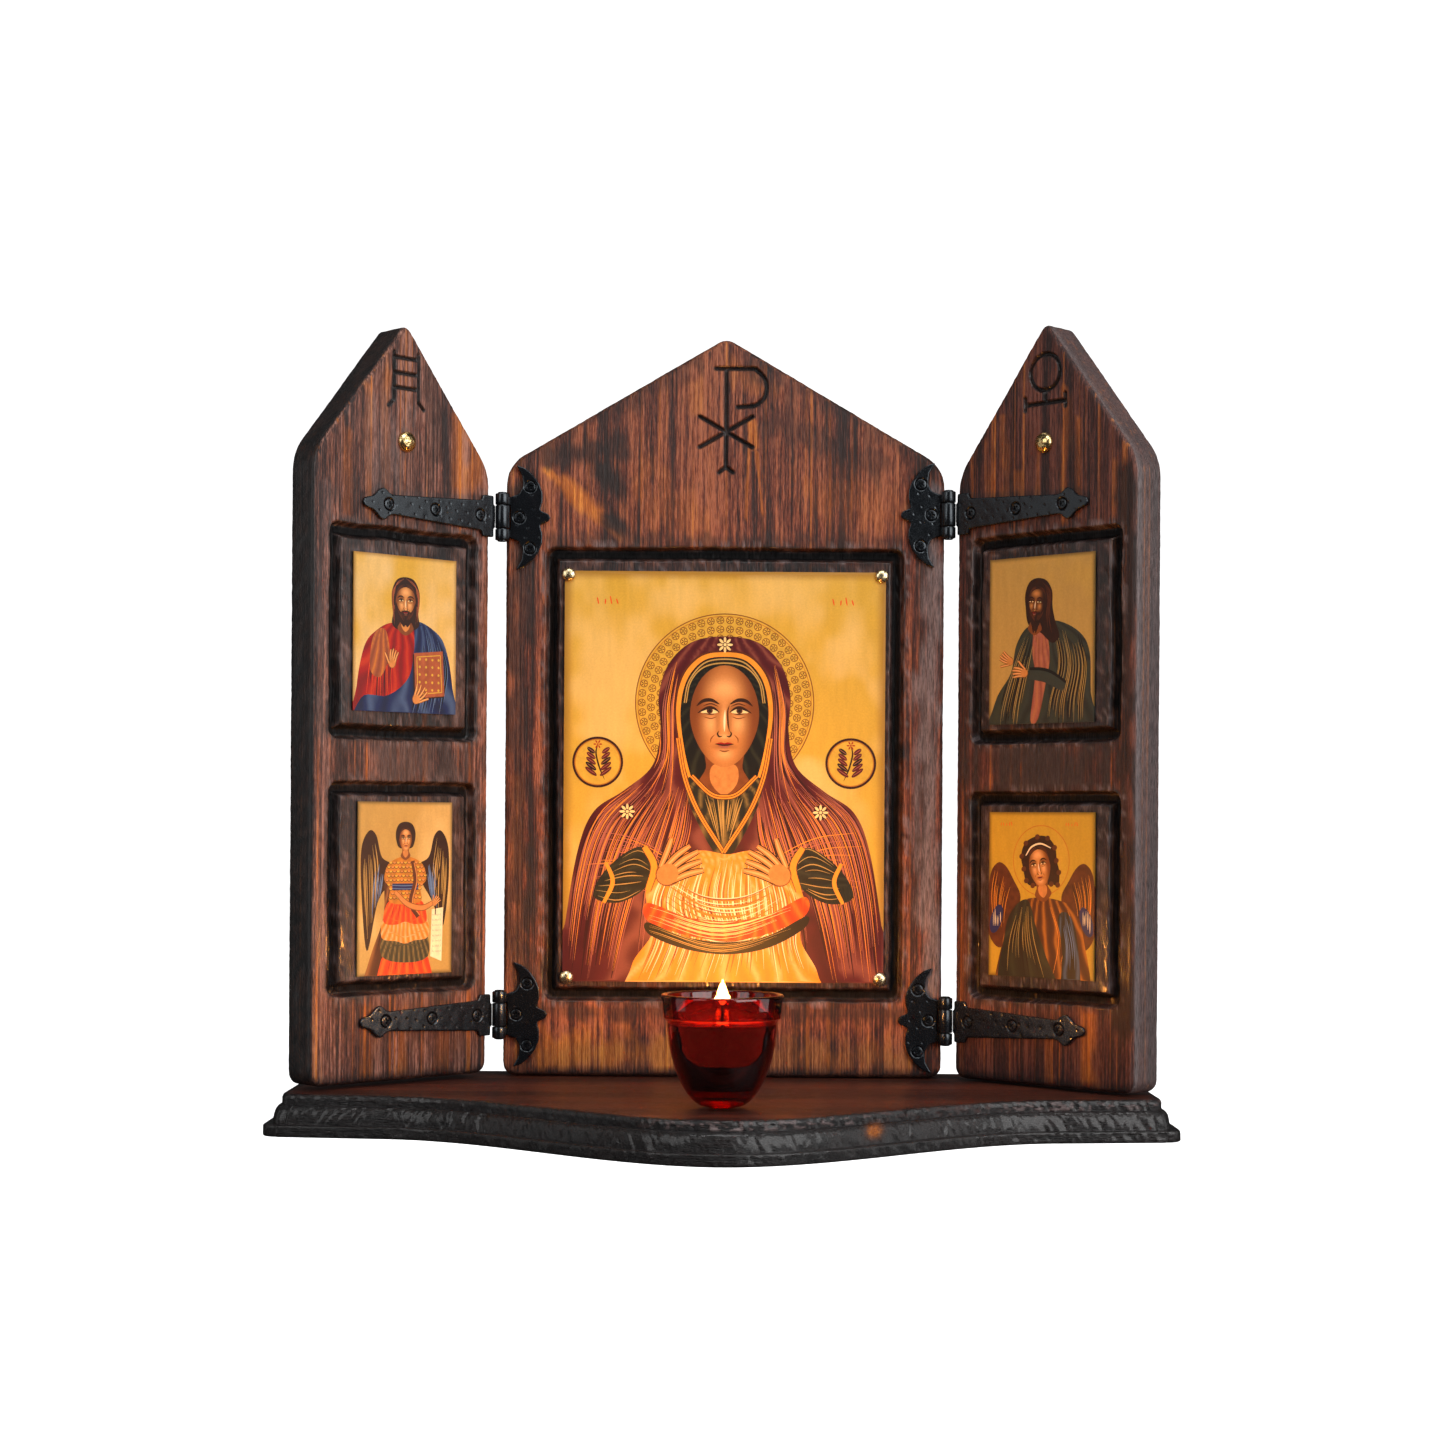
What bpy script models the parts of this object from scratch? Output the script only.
"""Triptych altarpiece in pine: a moulded shelf, a gabled centre board and two pointed wings on
black strap hinges, with five icon plates, brass nails and a votive glass standing on the shelf.
Metres, +Z up. The viewer stands on the -Y side; the origin is under the middle of the shelf."""

import math

import bmesh
import bpy
from mathutils import Matrix, Vector

PART_NAME = "triptych_altarpiece"
TOUCH_GAP = 0.0003  # air between pieces that rest on each other

# The shelf
SHELF_THICKNESS = 0.0218
SHELF_WIDTH = 0.4865  # at the foot of the moulding
SHELF_BACK_LEDGE = 0.006  # behind the centre board
SHELF_BULGE_REACH = 0.2125  # from the boards' front plane to the foot of the moulding, in the middle
SHELF_WAIST_X = 0.176  # where the front edge leaves the bulge
SHELF_WAIST_REACH = 0.1145
SHELF_END_REACH = 0.1075
SHELF_WAIST_SLOPE = -0.10  # of the front edge where it leaves the bulge
SHELF_CORNER_RADIUS = 0.008
SHELF_BOTTOM_BAND = 0.0063  # height of the lowest band of the moulding
SHELF_MIDDLE_BAND = 0.0096  # height of its quarter round
SHELF_LIP_SETBACK = 0.0046  # from the lowest band to the quarter round
SHELF_ROUND_SETBACK = 0.0034  # run of the quarter round
SHELF_TOP_SETBACK = 0.0006  # from the quarter round to the top band
SHELF_TOP_ROUND = 0.0026  # rounding of the top arris
SHELF_LIP_EASE = 0.0008  # easing of the lowest band's edges

# The three boards. Heights on a board are above its foot
BOARD_THICKNESS = 0.0235
BOARD_EDGE_ROUND = 0.0030
FOOT_RADIUS = 0.007
CENTRE_WIDTH = 0.250
CENTRE_SHOULDER_HEIGHT = 0.3482
CENTRE_APEX_HEIGHT = 0.4216
CENTRE_SHOULDER_RADIUS = 0.020
CENTRE_APEX_RADIUS = 0.009
WING_SHOULDER_HEIGHT = 0.3416
WING_SHOULDER_RADIUS = 0.030
WING_APEX_RADIUS = 0.0045

# What differs between the two hand-made wings. Distances across a wing run from the hinge's axis
WINGS = {
    "left": {
        "edge": 0.0050, "width": 0.1208, "apex": 0.4178, "foot_gap": 0.0022,
        "channel_edge": 0.0144, "channel_width": 0.1018,
        "lower_channel": 0.0478, "upper_channel": 0.1872, "nail": 0.3514,
    },
    "right": {
        "edge": 0.0024, "width": 0.1244, "apex": 0.4226, "foot_gap": 0.0010,
        "channel_edge": 0.0132, "channel_width": 0.1040,
        "lower_channel": 0.0460, "upper_channel": 0.1894, "nail": 0.3546,
    },
}

# Routed channels round the raised fields that carry the icons
CHANNEL_DEPTH = 0.0060
CHANNEL_FLOOR = 0.0042  # width of the channel's flat floor
CHANNEL_LIP = 0.0014  # chamfer of its outer edge
FIELD_BEVEL = 0.0026  # run of the raised field's sloping side
CHANNEL_CORNER = 0.0060
FIELD_CORNER = 0.0020
CENTRE_CHANNEL_HALF_WIDTH = 0.1022
CENTRE_CHANNEL_LOW = 0.0430
CENTRE_CHANNEL_HIGH = 0.3015
WING_CHANNEL_HEIGHT = 0.1165

# Icon plates: width, height, and how far each sits from the middle of its field
CENTRE_ICON_WIDTH = 0.1826
CENTRE_ICON_HEIGHT = 0.2336
CENTRE_ICON_THICKNESS = 0.0012
CENTRE_ICON_SHIFT = (0.0002, -0.0013)
WING_ICON_THICKNESS = 0.0007
WING_ICONS = {
    "left_upper": {"width": 0.0707, "height": 0.0860, "shift": (-0.0005, 0.0000)},
    "left_lower": {"width": 0.0650, "height": 0.0949, "shift": (0.0005, -0.0002)},
    "right_upper": {"width": 0.0723, "height": 0.0923, "shift": (-0.0014, -0.0014)},
    "right_lower": {"width": 0.0727, "height": 0.0913, "shift": (-0.0004, 0.0013)},
}

# Brass nails
TACK_HEAD_RADIUS = 0.0039
TACK_HEAD_HEIGHT = 0.0024
TACK_INSET = 0.0022  # from the plate's edges to the tack's middle
WING_NAIL_HEAD_RADIUS = 0.0057
WING_NAIL_HEAD_HEIGHT = 0.0036
NAIL_SHANK_RADIUS = 0.0008
NAIL_SHANK_LENGTH = 0.0090
NAIL_HOLE_CLEARANCE = 0.0003

# Black strap hinges. Each leaf lies on the wood and is rolled round the pin
LEAF_THICKNESS = 0.0020
BARREL_RADIUS = 0.0040
BARREL_LENGTH = 0.0265
STRAP_KNUCKLE_LENGTH = 0.0130
KNUCKLE_GAP = 0.0004
PIN_RADIUS = 0.0020
PIN_CLEARANCE = 0.0001
PIN_HEAD_RADIUS = 0.0027
PIN_HEAD_HEIGHT = 0.0008
HINGE_TO_CENTRE_BOARD = 0.0017  # from the pin's axis to the centre board's edge
HINGE_HEIGHTS = {  # above the shelf
    "left_upper": 0.3180,
    "left_lower": 0.0354,
    "right_upper": 0.3208,
    "right_lower": 0.0333,
}
LEAF_ROOT_CLEARANCE = 0.0005  # from the other leaf's knuckles
WING_REST_ANGLE = math.radians(45.0)  # swung forward from lying flat beside the centre board

STRAP_LENGTH = 0.0957
STRAP_ROOT_LENGTH = 0.0122
STRAP_ROOT_HALF_HEIGHT = 0.01175
STRAP_WIDE_HALF = 0.0086
STRAP_NARROW_HALF = 0.0054
STRAP_NECK = 0.0205  # from the tip back to where the strap widens into its finial
STRAP_LOBE = 0.0134  # from the tip back to the finial's lobes
STRAP_LOBE_HALF = 0.0088
STRAP_TIP_RADIUS = 0.0029
STRAP_SCREWS = (0.0141, 0.0462, 0.0783)

CRESCENT_REACH = 0.0272  # from the axis to the tip of its nub
CRESCENT_HORN = (0.0074, 0.0300)
CRESCENT_BELLY = 0.0226
CRESCENT_SCREWS = ((0.0155, 0.0176), (0.0094, 0.0), (0.0155, -0.0176))

# Countersunk wood screws
SCREW_HEAD_RADIUS = 0.0030
SCREW_PROUD = 0.0002
SCREW_SHANK_RADIUS = 0.0013
SCREW_LENGTH = 0.0130
SCREW_CLEARANCE = 0.0003

# Carved signs
SIGN_STROKE = 0.0026
SIGN_DEPTH = 0.0022
CENTRE_SIGN_HEIGHT = 0.0600
CENTRE_SIGN_ABOVE_CHANNEL = 0.0430
WING_SIGN_HEIGHT = 0.0300
WING_SIGN_ABOVE_NAIL = 0.0190
RING_SHARE = 0.335  # the ring's radius as a share of its sign's height

# The votive glass, its wax and its wick
GLASS_TO_BOARDS = 0.149  # from the boards' front plane to the middle of the glass
GLASS_HEIGHT = 0.0577
GLASS_RIM_RADIUS = 0.0313
GLASS_BAND_HEIGHT = 0.0124
GLASS_BAND_FOOT_RADIUS = 0.0302
GLASS_BODY_RADIUS = 0.0284
GLASS_FOOT_RADIUS = 0.0070
GLASS_SWELL = 1.75  # how full the egg-shaped body is
GLASS_WALL = 0.0026
GLASS_FLOOR = 0.0070
WAX_LEVEL = 0.0432  # above the shelf
WICK_RADIUS = 0.0008
WICK_ABOVE_WAX = 0.0085
WICK_IN_WAX = 0.0060

# Places that follow from the sizes above
SHELF_DEPTH = SHELF_BULGE_REACH + BOARD_THICKNESS + SHELF_BACK_LEDGE
FRONT_PLANE_Y = SHELF_BULGE_REACH - SHELF_DEPTH / 2  # of the boards' front faces
BARREL_RISE = TOUCH_GAP + BARREL_RADIUS  # from a wood face to the pin's axis
HINGE_X = CENTRE_WIDTH / 2 + HINGE_TO_CENTRE_BOARD
CENTRE_FOOT_Z = SHELF_THICKNESS + TOUCH_GAP
LEAF_TOP = TOUCH_GAP + LEAF_THICKNESS
LEVELS = ("upper", "lower")
SIDES = {"left": -1, "right": 1}


def clear_scene():
    """Empty the scene and make one collection for the pieces and one for the cutters."""
    for item in list(bpy.data.objects):
        bpy.data.objects.remove(item)
    collections = []
    for name in (PART_NAME, "cutters"):
        collection = bpy.data.collections.new(name)
        bpy.context.scene.collection.children.link(collection)
        collections.append(collection)
    return collections


PIECES, CUTTERS = clear_scene()


def material(name, colour, roughness, metallic=0.0):
    """A plain Principled material."""
    made = bpy.data.materials.new(name)
    made.use_nodes = True
    shader = made.node_tree.nodes["Principled BSDF"]
    shader.inputs["Base Color"].default_value = (*colour, 1.0)
    shader.inputs["Roughness"].default_value = roughness
    shader.inputs["Metallic"].default_value = metallic
    return made


MATERIALS = {
    "dark_wood": material("dark_wood", (0.11, 0.038, 0.016), 0.38),
    "icon_print": material("icon_print", (0.62, 0.38, 0.10), 0.42),
    "black_iron": material("black_iron", (0.012, 0.013, 0.015), 0.36, 0.6),
    "brass": material("brass", (0.66, 0.46, 0.20), 0.28, 1.0),
    "red_glass": material("red_glass", (0.16, 0.004, 0.006), 0.06),
    "wax": material("wax", (0.42, 0.02, 0.02), 0.4),
    "wick": material("wick", (0.05, 0.04, 0.03), 0.8),
}


def frame(name, parent=None, location=(0, 0, 0), rotation=(0, 0, 0)):
    """An empty that carries pieces."""
    empty = bpy.data.objects.new(name, None)
    PIECES.objects.link(empty)
    empty.parent = parent
    empty.location = location
    empty.rotation_euler = rotation
    return empty


def piece(name, mesh, slot, parent=None, location=(0, 0, 0), rotation=(0, 0, 0)):
    """A piece of the altarpiece in its own material."""
    made = bpy.data.objects.new(name, mesh)
    PIECES.objects.link(made)
    mesh.materials.append(MATERIALS[slot])
    made.parent = parent
    made.location = location
    made.rotation_euler = rotation
    return made


def cutter(name, mesh, group, parent=None, location=(0, 0, 0), rotation=(0, 0, 0)):
    """A hidden helper in a collection of its own, for a Boolean."""
    made = bpy.data.objects.new(name, mesh)
    group.objects.link(made)
    made.parent = parent
    made.location = location
    made.rotation_euler = rotation
    made.hide_render = True
    made.display_type = "WIRE"
    return made


def cutter_group(name):
    """A collection of cutters that one Boolean reads."""
    group = bpy.data.collections.new(name)
    CUTTERS.children.link(group)
    return group


def boolean(target, group, operation="DIFFERENCE"):
    """Cut or join target with everything in group."""
    modifier = target.modifiers.new(group.name, "BOOLEAN")
    modifier.operation = operation
    modifier.operand_type = "COLLECTION"
    modifier.collection = group
    modifier.solver = "EXACT"


def arc(centre, radius, start, end, steps):
    """Points along an arc, both ends included."""
    turns = [start + (end - start) * i / steps for i in range(steps + 1)]
    return [(centre[0] + radius * math.cos(a), centre[1] + radius * math.sin(a)) for a in turns]


def bezier(a, b, c, d, steps):
    """Points along a cubic, its first end left out."""
    points = []
    for i in range(1, steps + 1):
        t = i / steps
        weights = ((1 - t) ** 3, 3 * t * (1 - t) ** 2, 3 * t * t * (1 - t), t**3)
        points.append(tuple(sum(w * p[k] for w, p in zip(weights, (a, b, c, d))) for k in (0, 1)))
    return points


def filleted(corners, steps):
    """A closed outline from (x, y, radius) corners, each rounded to its own radius."""
    points = []
    for i, (x, y, radius) in enumerate(corners):
        here = Vector((x, y))
        back = (Vector(corners[i - 1][:2]) - here).normalized()
        ahead = (Vector(corners[(i + 1) % len(corners)][:2]) - here).normalized()
        half = back.angle(ahead) / 2
        middle = here + (back + ahead).normalized() * radius / math.sin(half)
        first = here + back * radius / math.tan(half) - middle
        last = here + ahead * radius / math.tan(half) - middle
        sweep = first.angle_signed(last)
        for k in range(steps + 1):
            spoke = first.copy()
            spoke.rotate(Matrix.Rotation(-sweep * k / steps, 2))
            points.append(tuple(middle + spoke))
    return points


def outline_mesh(name, points, low, high):
    """A solid of a flat outline between two heights: a filled 2D curve made a mesh."""
    curve = bpy.data.curves.new(name, "CURVE")
    curve.dimensions = "2D"
    curve.fill_mode = "BOTH"
    curve.extrude = (high - low) / 2
    spline = curve.splines.new("POLY")
    spline.points.add(len(points) - 1)
    for target, (x, y) in zip(spline.points, points):
        target.co = (x, y, 0, 1)
    spline.use_cyclic_u = True
    drawn = bpy.data.objects.new(name, curve)
    PIECES.objects.link(drawn)
    graph = bpy.context.evaluated_depsgraph_get()
    mesh = bpy.data.meshes.new_from_object(drawn.evaluated_get(graph))
    bpy.data.objects.remove(drawn)
    mesh.transform(Matrix.Translation((0, 0, (low + high) / 2)))
    shape = bmesh.new()
    shape.from_mesh(mesh)
    bmesh.ops.remove_doubles(shape, verts=shape.verts, dist=1e-6)
    bmesh.ops.dissolve_limit(
        shape, angle_limit=math.radians(0.5), verts=shape.verts, edges=shape.edges
    )
    bmesh.ops.recalc_face_normals(shape, faces=shape.faces)
    shape.to_mesh(mesh)
    shape.free()
    mesh.name = name
    return mesh


def loft_mesh(name, rings, closed=False):
    """Skin over rings of equal count. A closed loft joins its last ring to its first."""
    shape = bmesh.new()
    loops = [[shape.verts.new(p) for p in ring] for ring in rings]
    pairs = list(zip(loops, loops[1:])) + ([(loops[-1], loops[0])] if closed else [])
    for lower, upper in pairs:
        count = len(lower)
        for i in range(count):
            k = (i + 1) % count
            shape.faces.new((lower[i], lower[k], upper[k], upper[i]))
    if not closed:
        shape.faces.new(loops[0])
        shape.faces.new(loops[-1])
    bmesh.ops.recalc_face_normals(shape, faces=shape.faces)
    mesh = bpy.data.meshes.new(name)
    shape.to_mesh(mesh)
    shape.free()
    return mesh


def profile_mesh(name, profile):
    """A chain of edges in the XZ plane, to be turned about Z."""
    mesh = bpy.data.meshes.new(name)
    edges = [(i, i + 1) for i in range(len(profile) - 1)]
    mesh.from_pydata([(r, 0, z) for r, z in profile], edges, [])
    return mesh


def turn(made, steps):
    """Turn a profile about its own Z axis."""
    modifier = made.modifiers.new("turned", "SCREW")
    modifier.steps = modifier.render_steps = steps
    modifier.use_merge_vertices = True
    modifier.merge_threshold = 0.00001
    return made


def cylinder_mesh(name, radius, length, segments):
    """A cylinder centred on its own axis, which is Z."""
    shape = bmesh.new()
    bmesh.ops.create_cone(
        shape, cap_ends=True, segments=segments, radius1=radius, radius2=radius, depth=length
    )
    mesh = bpy.data.meshes.new(name)
    shape.to_mesh(mesh)
    shape.free()
    return mesh


def shade(made):
    """Smooth shading with sharp edges kept."""
    made.data.shade_smooth()
    made.data.set_sharp_from_angle(angle=math.radians(35))


# Shelf
def front_reach(x):
    """How far the foot of the moulding stands in front of the boards at this x."""
    x = abs(x)
    if x <= SHELF_WAIST_X:
        span, start, end = SHELF_WAIST_X, SHELF_BULGE_REACH, SHELF_WAIST_REACH
        t, slopes = x / span, (0.0, SHELF_WAIST_SLOPE)
    else:
        span = SHELF_WIDTH / 2 - SHELF_WAIST_X
        start, end = SHELF_WAIST_REACH, SHELF_END_REACH
        t, slopes = (x - SHELF_WAIST_X) / span, (SHELF_WAIST_SLOPE, SHELF_WAIST_SLOPE)
    blend = 3 * t * t - 2 * t**3
    tangents = slopes[0] * (t**3 - 2 * t * t + t) + slopes[1] * (t**3 - t * t)
    return start + (end - start) * blend + tangents * span


def shelf_outline(inset):
    """Half the shelf's outline from the back to the middle of the front, set in from the foot."""
    half = SHELF_WIDTH / 2 - inset
    back = SHELF_DEPTH / 2
    corner_y = FRONT_PLANE_Y - SHELF_END_REACH + inset
    radius = SHELF_CORNER_RADIUS
    points = [(half, back), (half, corner_y + radius)]
    turned = arc((half - radius, corner_y + radius), radius, 0, -math.pi / 2, 3)
    points += turned[1:]
    stations = 22
    start = half - radius
    for i in range(1, stations + 1):
        x = start * (1 - i / stations)
        slope = (front_reach(x + 1e-4) - front_reach(max(x - 1e-4, 0))) / 2e-4 if x else 0.0
        away = inset * math.sqrt(1 + slope * slope)
        points.append((x, FRONT_PLANE_Y - front_reach(x) + away))
    return points


def shelf_ring(inset, z):
    """The whole outline at height z."""
    half = shelf_outline(inset)
    mirrored = [(-x, y) for x, y in reversed(half[:-1])]
    return [(x, y, z) for x, y in half + mirrored]


def make_shelf():
    """The shelf: a board whose front and ends carry a moulding of three bands."""
    lip, band, ease = SHELF_LIP_SETBACK, SHELF_BOTTOM_BAND, SHELF_LIP_EASE
    rings = [(ease, 0.0), (0.0, ease), (0.0, band - ease), (ease, band), (lip, band)]
    for run, rise in arc((0, 0), 1.0, math.pi / 2, 0, 4):
        height = band + SHELF_MIDDLE_BAND * run
        rings.append((lip + SHELF_ROUND_SETBACK * (1 - rise), height))
    step = lip + SHELF_ROUND_SETBACK
    top_band = step + SHELF_TOP_SETBACK
    rings.append((top_band, band + SHELF_MIDDLE_BAND))
    for run, rise in arc((0, 0), SHELF_TOP_ROUND, math.pi, math.pi / 2, 3):
        height = SHELF_THICKNESS - SHELF_TOP_ROUND + rise
        rings.append((top_band + SHELF_TOP_ROUND + run, height))
    mesh = loft_mesh("base_shelf", [shelf_ring(inset, z) for inset, z in rings])
    shade(piece("base_shelf", mesh, "dark_wood"))


# Boards
def board_outline(left, right, shoulder, apex):
    """A gabled board seen from the front, its foot at 0. Shoulder and apex: height and radius."""
    corners = [
        (left, 0, FOOT_RADIUS),
        (right, 0, FOOT_RADIUS),
        (right, *shoulder),
        ((left + right) / 2, *apex),
        (left, *shoulder),
    ]
    return filleted(corners, 4)


def rectangle_ring(low, high, grow, radius, z):
    """A rounded rectangle from low to high, grown all round, at height z."""
    x0, y0, x1, y1 = low[0] - grow, low[1] - grow, high[0] + grow, high[1] + grow
    corners = [(x0, y0, radius), (x1, y0, radius), (x1, y1, radius), (x0, y1, radius)]
    return [(x, y, z) for x, y in filleted(corners, 2)]


def channel_mesh(name, low, high):
    """The cutter for a routed channel: its outer wall, floor and the raised field's sloping side."""
    over = 0.001  # the cutter stands this far above the wood
    lip, floor, bevel = CHANNEL_LIP, CHANNEL_FLOOR, FIELD_BEVEL
    slope = bevel / CHANNEL_DEPTH
    rings = [
        rectangle_ring(low, high, over, CHANNEL_CORNER + over, over),
        rectangle_ring(low, high, -lip, CHANNEL_CORNER - lip, -lip),
        rectangle_ring(low, high, -lip, CHANNEL_CORNER - lip, -CHANNEL_DEPTH),
        rectangle_ring(low, high, -lip - floor, FIELD_CORNER, -CHANNEL_DEPTH),
        rectangle_ring(low, high, -lip - floor - bevel - slope * over, FIELD_CORNER, over),
    ]
    return loft_mesh(name, rings, closed=True)


def make_board(name, outline, face, channels, group):
    """A board with rounded edges, its channels routed and whatever else is in group cut."""
    mesh = outline_mesh(name, outline, -BOARD_THICKNESS, 0)
    made = piece(name, mesh, "dark_wood", face)
    bevel = made.modifiers.new("eased edges", "BEVEL")
    bevel.width = BOARD_EDGE_ROUND
    bevel.segments = 2
    bevel.limit_method = "ANGLE"
    bevel.angle_limit = math.radians(60)
    for index, (low, high) in enumerate(channels):
        cutter(f"{name}_channel_{index}", channel_mesh(f"{name}_channel", low, high), group, face)
    boolean(made, group)
    return made


def make_icon(name, width, height, thickness, middle, face):
    """A thin plate that lies on its raised field. Its picture is only colour."""
    shape = bmesh.new()
    bmesh.ops.create_cube(shape, size=1)
    bmesh.ops.scale(shape, vec=(width, height, thickness), verts=shape.verts)
    mesh = bpy.data.meshes.new(name)
    shape.to_mesh(mesh)
    shape.free()
    place = (middle[0], middle[1], TOUCH_GAP + thickness / 2)
    return piece(name, mesh, "icon_print", face, place)


def make_nail(name, head_radius, head_height, seat, place, face, groups):
    """A domed brass nail whose shank goes through a hole in each piece of groups."""
    dome = [(head_radius * math.sin(a), seat + head_height * math.cos(a))
            for a in (math.pi / 2 * k / 4 for k in range(5))]
    shank = [(NAIL_SHANK_RADIUS, seat), (NAIL_SHANK_RADIUS, -NAIL_SHANK_LENGTH + 0.001)]
    profile = dome + shank + [(0, -NAIL_SHANK_LENGTH)]
    nail = piece(name, profile_mesh(name, profile), "brass", face, (*place, 0))
    shade(turn(nail, 10))
    radius = NAIL_SHANK_RADIUS + NAIL_HOLE_CLEARANCE
    depth = NAIL_SHANK_LENGTH + NAIL_HOLE_CLEARANCE
    for index, group in enumerate(groups):
        hole = cylinder_mesh(f"{name}_hole", radius, 2 * depth, 6)
        cutter(f"{name}_hole_{index}", hole, group, face, (*place, 0))


# Carved signs
def ribbon(points, width):
    """The outline of a stroke of even width along an open path, with blunt pointed ends."""
    path = [Vector(p) for p in points]
    left, right = [], []
    for i, here in enumerate(path):
        back = (here - path[i - 1]).normalized() if i else None
        ahead = (path[i + 1] - here).normalized() if i + 1 < len(path) else None
        along = ((back or ahead) + (ahead or back)).normalized()
        across = Vector((-along.y, along.x))
        reach = width / 2 / max(across.dot(Vector((-(ahead or back).y, (ahead or back).x))), 0.5)
        left.append(tuple(here + across * reach))
        right.append(tuple(here - across * reach))
    start = tuple(path[0] - (path[1] - path[0]).normalized() * width / 2)
    end = tuple(path[-1] + (path[-1] - path[-2]).normalized() * width / 2)
    return [start] + right + [end] + left[::-1]


def carve(name, strokes, origin, group, face):
    """Cut each stroke of a sign, given about the sign's middle, into the wood."""
    for index, stroke in enumerate(strokes):
        mesh = outline_mesh(f"{name}_{index}", ribbon(stroke, SIGN_STROKE), -SIGN_DEPTH, 0.001)
        cutter(f"{name}_{index}", mesh, group, face, (*origin, 0))


def crook_cross_strokes(height):
    """A staff with an open crook, crossed by a saltire, on a flared foot. Foot at 0."""
    hook = [(-0.10, 0.985), (0.28, 0.985)]
    hook += arc((0.20, 0.805), 0.185, math.radians(62), math.radians(-70), 4)
    hook += [(0.11, 0.62)]
    saltire = [[(-0.25, 0.53), (0.25, 0.24)], [(-0.25, 0.24), (0.25, 0.53)]]
    foot = [(-0.065, 0.0), (0.0, 0.055), (0.065, 0.0)]
    return grown([[(0.0, 0.96), (0.0, 0.06)], hook, *saltire, foot], height)


def ladder_strokes(height):
    """A ladder of three rungs on splayed feet. Foot at 0."""
    rungs = [[(-0.24, y), (0.24, y)] for y in (0.90, 0.62, 0.35)]
    rails = [[(-0.28, 1.0), (-0.28, 0.12), (-0.40, 0.0)], [(0.28, 1.0), (0.28, 0.12), (0.40, 0.0)]]
    return grown(rungs + rails, height)


def ring_bar_strokes(height):
    """The stem and the ticked bar under a ring. Feet of the ticks at 0."""
    bar = [(-0.43, 0.10), (0.43, 0.10)]
    ticks = [[(x, 0.0), (x, 0.23)] for x in (-0.46, 0.46)]
    return grown([bar, *ticks, [(0.0, 0.07), (0.0, 0.35)]], height)


def grown(strokes, height):
    """Strokes drawn on a unit height, at the sign's own height."""
    return [[(x * height, y * height) for x, y in stroke] for stroke in strokes]


def carve_ring(name, foot, height, group, face):
    """Cut the round channel at the top of a sign."""
    radius, half = RING_SHARE * height, SIGN_STROKE / 2
    middle = (foot[0], foot[1] + height - radius)
    spots = ((radius + half, 0.001), (radius + half, -SIGN_DEPTH),
             (radius - half, -SIGN_DEPTH), (radius - half, 0.001))
    rings = [[(x, y, z) for x, y in arc((0, 0), r, 0, math.tau, 16)[:-1]] for r, z in spots]
    cutter(name, loft_mesh(name, rings, closed=True), group, face, (*middle, 0))


# Hinges
def strap_outline():
    """The long leaf, from its root beside the pin to the tip of its finial."""
    root_x = BARREL_RADIUS + LEAF_ROOT_CLEARANCE
    knuckle = STRAP_KNUCKLE_LENGTH / 2
    neck = (STRAP_LENGTH - STRAP_NECK, STRAP_NARROW_HALF)
    lobe = (STRAP_LENGTH - STRAP_LOBE, STRAP_LOBE_HALF)
    tip_x = STRAP_LENGTH - STRAP_TIP_RADIUS
    wide = STRAP_ROOT_LENGTH + 0.0010
    upper = [(root_x, knuckle), (root_x, STRAP_ROOT_HALF_HEIGHT)]
    upper += [(STRAP_ROOT_LENGTH, STRAP_ROOT_HALF_HEIGHT), (wide, STRAP_WIDE_HALF), neck]
    swell = (neck[0] + 0.0045, neck[1] + 0.0004)
    upper += bezier(neck, swell, (lobe[0] - 0.0030, lobe[1]), lobe, 4)
    hollow = (tip_x - 0.0060, STRAP_TIP_RADIUS)
    upper += bezier(lobe, (lobe[0] + 0.0030, lobe[1]), hollow, (tip_x, STRAP_TIP_RADIUS), 4)
    tip = arc((tip_x, 0), STRAP_TIP_RADIUS, math.pi / 2, 0, 2)[1:]
    half = [(BARREL_RADIUS / 3, knuckle)] + upper + tip
    return half + [(x, -y) for x, y in reversed(half[:-1])]


def crescent_outline():
    """The short leaf: two horns and a nub, with two knuckles beside the strap's one."""
    root_x = BARREL_RADIUS + LEAF_ROOT_CLEARANCE
    gap_top = STRAP_KNUCKLE_LENGTH / 2 + KNUCKLE_GAP
    shoulder = (BARREL_RADIUS, BARREL_LENGTH / 2 - 0.0016)
    horn = CRESCENT_HORN
    belly = (CRESCENT_BELLY, 0.0090)
    waist = (CRESCENT_BELLY - 0.0014, 0.0042)
    half = [(root_x, gap_top), (BARREL_RADIUS / 3, gap_top), (BARREL_RADIUS / 3, shoulder[1])]
    half += [shoulder] + bezier(shoulder, (0.0130, 0.0120), (0.0140, 0.0220), horn, 4)
    half += bezier(horn, (0.0160, 0.0290), (0.0245, 0.0170), belly, 5)
    half += bezier(belly, (0.0224, 0.0068), (0.0208, 0.0052), waist, 2)
    half += bezier(waist, (0.0225, 0.0030), (CRESCENT_REACH, 0.0030), (CRESCENT_REACH, 0), 3)
    return half + [(x, -y) for x, y in reversed(half[:-1])]


def mirrored(points, side):
    """The outline as drawn for side 1, or its mirror image for side -1."""
    return [(x * side, y) for x, y in points]


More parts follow.
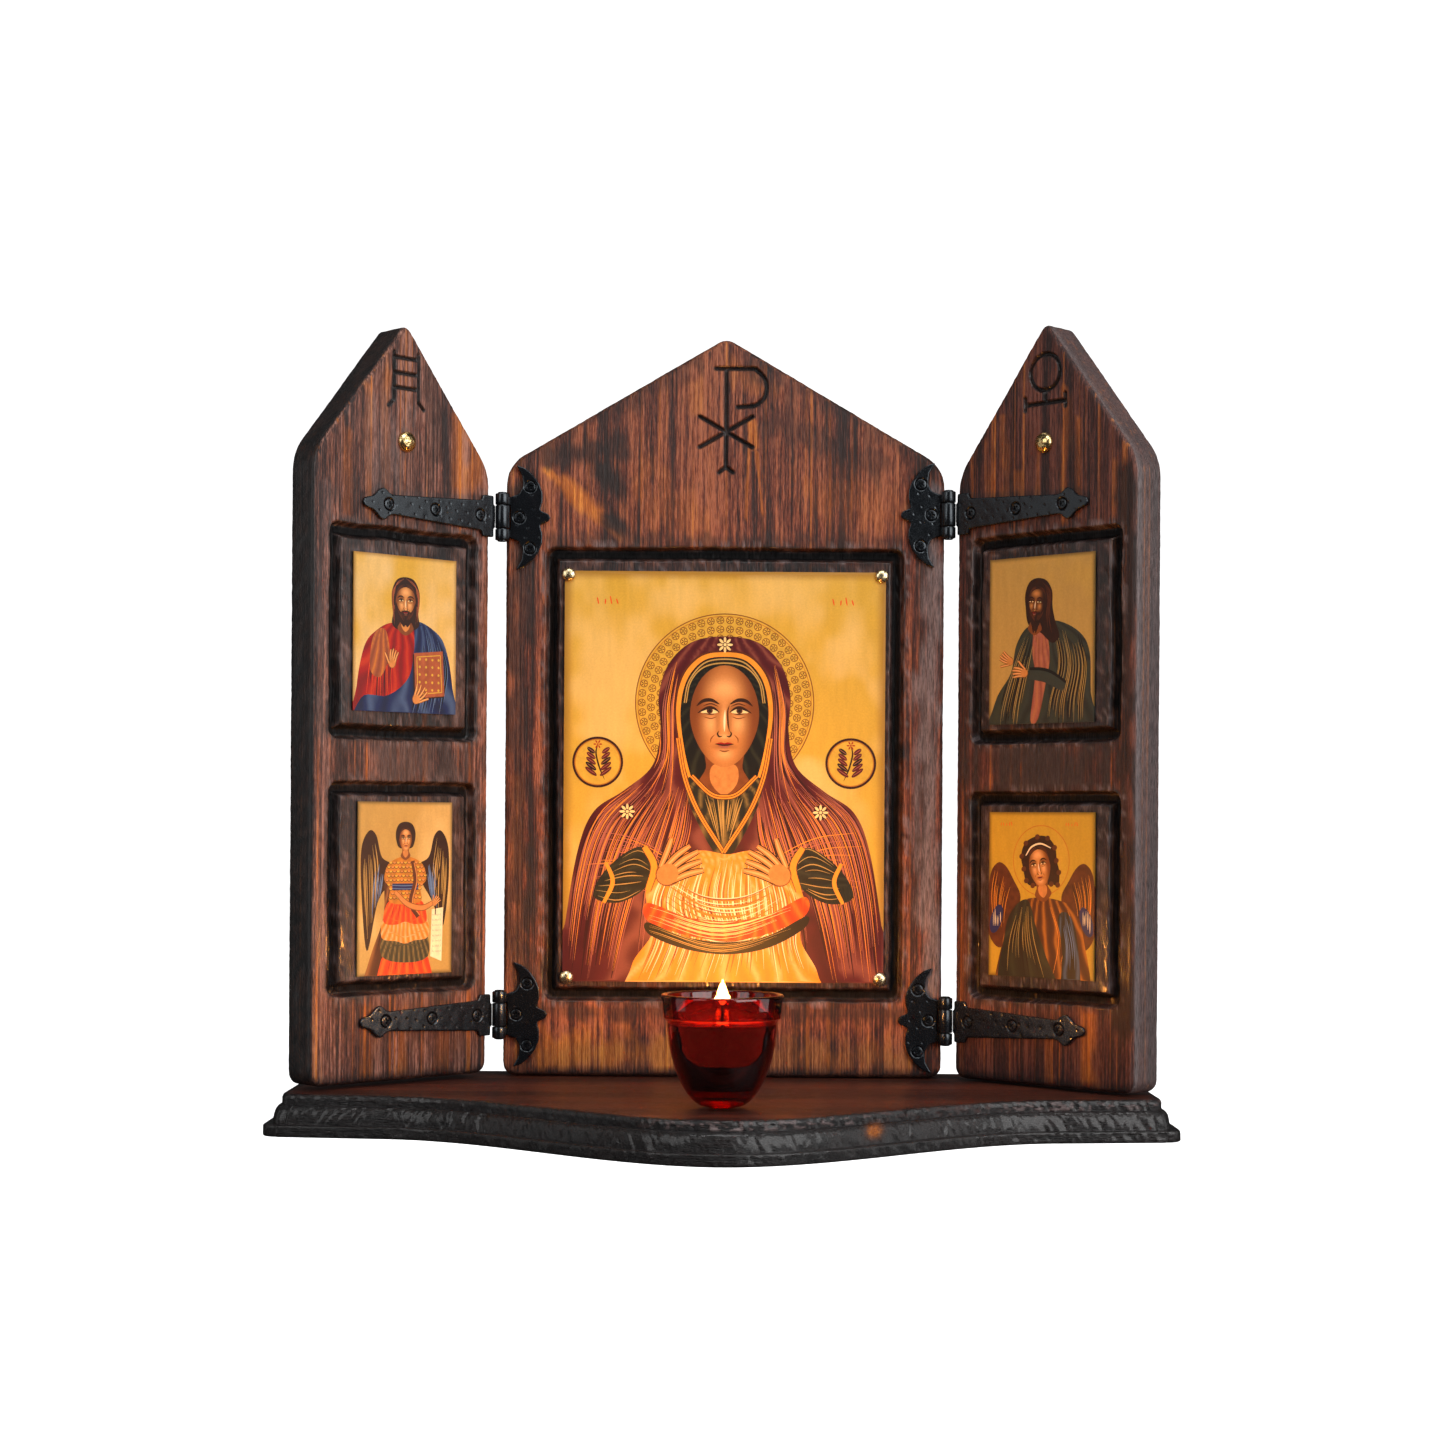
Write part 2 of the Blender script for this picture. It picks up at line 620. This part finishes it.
def make_leaf(name, outline, face, origin, knuckles, screws, wood):
    """A leaf rolled round the pin, with countersunk holes, and its screws in the wood."""
    mesh = outline_mesh(name, outline, TOUCH_GAP, LEAF_TOP)
    leaf = piece(name, mesh, "black_iron", face, (*origin, 0))
    rolls, cuts = cutter_group(f"{name}_rolls"), cutter_group(f"{name}_cuts")
    upright = (-math.pi / 2, 0, 0)
    for index, (low, high) in enumerate(knuckles):
        place = (origin[0], origin[1] + (low + high) / 2, BARREL_RISE)
        roll = cylinder_mesh(f"{name}_roll", BARREL_RADIUS, high - low, 14)
        cutter(f"{name}_roll_{index}", roll, rolls, face, place, upright)
    bore = cylinder_mesh(f"{name}_bore", PIN_RADIUS + PIN_CLEARANCE, 2 * BARREL_LENGTH, 14)
    cutter(f"{name}_bore", bore, cuts, face, (*origin, BARREL_RISE), upright)
    stem = name.replace("_leaf", "")
    for index, (x, y) in enumerate(screws, start=1):
        place = (origin[0] + x, origin[1] + y, 0)
        make_screw(f"{stem}_screw_{index}", place, face)
        grow = SCREW_CLEARANCE
        head = SCREW_HEAD_RADIUS + grow
        sink = [(0, LEAF_TOP + 0.001), (head + 0.001, LEAF_TOP + 0.001), (head, LEAF_TOP)]
        sink += [(SCREW_SHANK_RADIUS + grow, TOUCH_GAP), (SCREW_SHANK_RADIUS + grow, -0.001)]
        seat = cutter(f"{stem}_seat_{index}", profile_mesh("seat", sink + [(0, -0.001)]), cuts,
                      face, place)
        turn(seat, 8)
        depth = SCREW_LENGTH - LEAF_TOP + grow
        pilot = cylinder_mesh("pilot", SCREW_SHANK_RADIUS + grow, 2 * depth, 6)
        cutter(f"{stem}_pilot_{index}", pilot, wood, face, place)
    boolean(leaf, rolls, "UNION")
    boolean(leaf, cuts)
    return leaf


def make_screw(name, place, face):
    """A countersunk screw, a hair proud of its leaf."""
    top = LEAF_TOP + SCREW_PROUD
    profile = [(0, top), (SCREW_HEAD_RADIUS, top - SCREW_PROUD / 2)]
    profile += [(SCREW_SHANK_RADIUS, TOUCH_GAP), (SCREW_SHANK_RADIUS, top - SCREW_LENGTH + 0.002)]
    profile += [(0, top - SCREW_LENGTH)]
    turn(piece(name, profile_mesh(name, profile), "black_iron", face, place), 8)


def make_pin(name, place, face):
    """The pin, with a flat head above and below the barrel."""
    inner = BARREL_LENGTH / 2 + PIN_CLEARANCE
    outer = inner + PIN_HEAD_HEIGHT
    profile = [(0, outer), (PIN_HEAD_RADIUS, outer - 0.0003), (PIN_HEAD_RADIUS, inner)]
    profile += [(PIN_RADIUS, inner), (PIN_RADIUS, -inner), (PIN_HEAD_RADIUS, -inner)]
    profile += [(PIN_HEAD_RADIUS, -outer + 0.0003), (0, -outer)]
    pin = piece(name, profile_mesh(name, profile), "black_iron", face, place, (-math.pi / 2, 0, 0))
    shade(turn(pin, 14))


# The votive glass
def glass_radius(height):
    """Outer radius of the egg-shaped body below the band, at a height above the shelf."""
    top = GLASS_HEIGHT - GLASS_BAND_HEIGHT
    t = max(0.0, min(1.0, height / top))
    swell = math.sqrt(1 - (1 - t) ** GLASS_SWELL)
    return GLASS_FOOT_RADIUS + (GLASS_BODY_RADIUS - GLASS_FOOT_RADIUS) * swell


def inner_radius(height):
    """Radius of the hollow, a wall's thickness inside the body."""
    return max(glass_radius(height) - GLASS_WALL, 0.0)


def make_votive():
    """A red glass with wax in it and a wick, standing on the shelf's bulge."""
    place = (0, FRONT_PLANE_Y - GLASS_TO_BOARDS, SHELF_THICKNESS + TOUCH_GAP)
    band_foot = GLASS_HEIGHT - GLASS_BAND_HEIGHT
    inner_rim = GLASS_RIM_RADIUS - GLASS_WALL
    hollow = [GLASS_FLOOR + (band_foot - GLASS_FLOOR) * t for t in (0.0, 0.12, 0.35, 0.65, 1.0)]
    profile = [(0, GLASS_FLOOR - 0.0015)] + [(inner_radius(h), h) for h in hollow]
    profile += [(inner_rim, GLASS_HEIGHT - 0.0006), (inner_rim + GLASS_WALL / 2, GLASS_HEIGHT)]
    profile += [(GLASS_RIM_RADIUS, GLASS_HEIGHT - 0.0008), (GLASS_BAND_FOOT_RADIUS, band_foot)]
    profile += [(glass_radius(band_foot * t), band_foot * t) for t in (0.98, 0.70, 0.40, 0.18, 0.05)]
    profile += [(GLASS_FOOT_RADIUS, 0), (0, 0)]
    glass = piece("votive_glass", profile_mesh("votive_glass", profile), "red_glass", None, place)
    shade(turn(glass, 22))
    air = TOUCH_GAP + 0.0002
    levels = [WAX_LEVEL - (WAX_LEVEL - GLASS_FLOOR) * t for t in (0.0, 0.35, 0.65, 0.88)]
    wall = [(inner_radius(h) * math.cos(math.pi / 22) - air * 2, h) for h in levels]
    wax_profile = [(0, WAX_LEVEL), *wall, (0, levels[-1])]
    wax = piece("votive_wax", profile_mesh("votive_wax", wax_profile), "wax", None, place)
    turn(wax, 22)
    sunk = WICK_IN_WAX
    well = cutter_group("wick_well")
    hole = cylinder_mesh("wick_hole", WICK_RADIUS + TOUCH_GAP, 2 * (sunk + TOUCH_GAP), 6)
    cutter("wick_hole", hole, well, None, (place[0], place[1], place[2] + WAX_LEVEL))
    boolean(wax, well)
    wick_profile = [(0, WICK_ABOVE_WAX), (WICK_RADIUS, WICK_ABOVE_WAX - 0.001)]
    wick_profile += [(WICK_RADIUS, -sunk), (0, -sunk)]
    wick_place = (place[0], place[1], place[2] + WAX_LEVEL)
    wick = piece("votive_wick", profile_mesh("votive_wick", wick_profile), "wick", None, wick_place)
    turn(wick, 6)


def make_centre():
    """The centre board with its icon, tacks and crook cross. Returns its face and cutters."""
    face = frame("centre_face", None, (0, FRONT_PLANE_Y, CENTRE_FOOT_Z), (math.pi / 2, 0, 0))
    wood, plate_cuts = cutter_group("centre_cuts"), cutter_group("centre_icon_cuts")
    half = CENTRE_WIDTH / 2
    outline = board_outline(-half, half, (CENTRE_SHOULDER_HEIGHT, CENTRE_SHOULDER_RADIUS),
                            (CENTRE_APEX_HEIGHT, CENTRE_APEX_RADIUS))
    low = (-CENTRE_CHANNEL_HALF_WIDTH, CENTRE_CHANNEL_LOW)
    high = (CENTRE_CHANNEL_HALF_WIDTH, CENTRE_CHANNEL_HIGH)
    middle = (CENTRE_ICON_SHIFT[0], (low[1] + high[1]) / 2 + CENTRE_ICON_SHIFT[1])
    icon = make_icon("centre_icon", CENTRE_ICON_WIDTH, CENTRE_ICON_HEIGHT, CENTRE_ICON_THICKNESS,
                     middle, face)
    reach_x = CENTRE_ICON_WIDTH / 2 - TACK_INSET
    reach_y = CENTRE_ICON_HEIGHT / 2 - TACK_INSET
    seat = 2 * TOUCH_GAP + CENTRE_ICON_THICKNESS
    for row, up in (("top", 1), ("bottom", -1)):
        for column, right in SIDES.items():
            place = (middle[0] + right * reach_x, middle[1] + up * reach_y)
            make_nail(f"{row}_{column}_tack", TACK_HEAD_RADIUS, TACK_HEAD_HEIGHT, seat, place,
                      face, (wood, plate_cuts))
    boolean(icon, plate_cuts)
    sign_foot = (0.0, CENTRE_CHANNEL_HIGH + CENTRE_SIGN_ABOVE_CHANNEL)
    carve("crook_cross", crook_cross_strokes(CENTRE_SIGN_HEIGHT), sign_foot, wood, face)
    make_board("centre_board", outline, face, [(low, high)], wood)
    return face, wood


def make_wing(side_name, side):
    """A wing on its hinge's axis, with its two icons, nail and carved sign."""
    own = WINGS[side_name]
    axis = frame(f"{side_name}_wing_axis", None,
                 (side * HINGE_X, FRONT_PLANE_Y - BARREL_RISE, SHELF_THICKNESS + own["foot_gap"]),
                 (0, 0, -side * WING_REST_ANGLE))
    face = frame(f"{side_name}_wing_face", axis, (0, BARREL_RISE, 0), (math.pi / 2, 0, 0))
    wood = cutter_group(f"{side_name}_wing_cuts")
    near, far = side * own["edge"], side * (own["edge"] + own["width"])
    outline = board_outline(min(near, far), max(near, far),
                            (WING_SHOULDER_HEIGHT, WING_SHOULDER_RADIUS),
                            (own["apex"], WING_APEX_RADIUS))
    start = side * own["channel_edge"]
    end = start + side * own["channel_width"]
    channels = []
    for level in LEVELS:
        bottom = own[f"{level}_channel"]
        low = (min(start, end), bottom)
        high = (max(start, end), bottom + WING_CHANNEL_HEIGHT)
        channels.append((low, high))
        size = WING_ICONS[f"{side_name}_{level}"]
        middle = ((start + end) / 2 + size["shift"][0],
                  bottom + WING_CHANNEL_HEIGHT / 2 + size["shift"][1])
        make_icon(f"{side_name}_{level}_icon", size["width"], size["height"], WING_ICON_THICKNESS,
                  middle, face)
    nail_place = ((near + far) / 2, own["nail"])
    make_nail(f"{side_name}_wing_nail", WING_NAIL_HEAD_RADIUS, WING_NAIL_HEAD_HEIGHT, TOUCH_GAP,
              nail_place, face, (wood,))
    sign_foot = (nail_place[0], own["nail"] + WING_SIGN_ABOVE_NAIL)
    if side < 0:
        carve("ladder", ladder_strokes(WING_SIGN_HEIGHT), sign_foot, wood, face)
    else:
        carve("ring_bar", ring_bar_strokes(WING_SIGN_HEIGHT), sign_foot, wood, face)
        carve_ring("ring", sign_foot, WING_SIGN_HEIGHT, wood, face)
    make_board(f"{side_name}_wing_board", outline, face, channels, wood)
    return face, wood


def make_hinge(name, side, foot_gap, centre, wing):
    """One strap hinge: a strap on the wing, a crescent on the centre board, and the pin."""
    centre_face, centre_wood = centre
    wing_face, wing_wood = wing
    knuckle = STRAP_KNUCKLE_LENGTH / 2
    outer = (knuckle + KNUCKLE_GAP, BARREL_LENGTH / 2)
    on_centre = HINGE_HEIGHTS[name] - TOUCH_GAP
    on_wing = HINGE_HEIGHTS[name] - foot_gap
    make_leaf(f"{name}_strap_leaf", mirrored(strap_outline(), side), wing_face, (0, on_wing),
              [(-knuckle, knuckle)], [(side * x, 0) for x in STRAP_SCREWS], wing_wood)
    make_leaf(f"{name}_crescent_leaf", mirrored(crescent_outline(), -side), centre_face,
              (side * HINGE_X, on_centre), [outer, (-outer[1], -outer[0])],
              [(-side * x, y) for x, y in CRESCENT_SCREWS], centre_wood)
    make_pin(f"{name}_hinge_pin", (side * HINGE_X, on_centre, BARREL_RISE), centre_face)


def main():
    """Build the shelf, the boards, the hinges and the votive glass."""
    make_shelf()
    centre = make_centre()
    for side_name, side in SIDES.items():
        wing = make_wing(side_name, side)
        for level in LEVELS:
            make_hinge(f"{side_name}_{level}", side, WINGS[side_name]["foot_gap"], centre, wing)
    make_votive()


main()
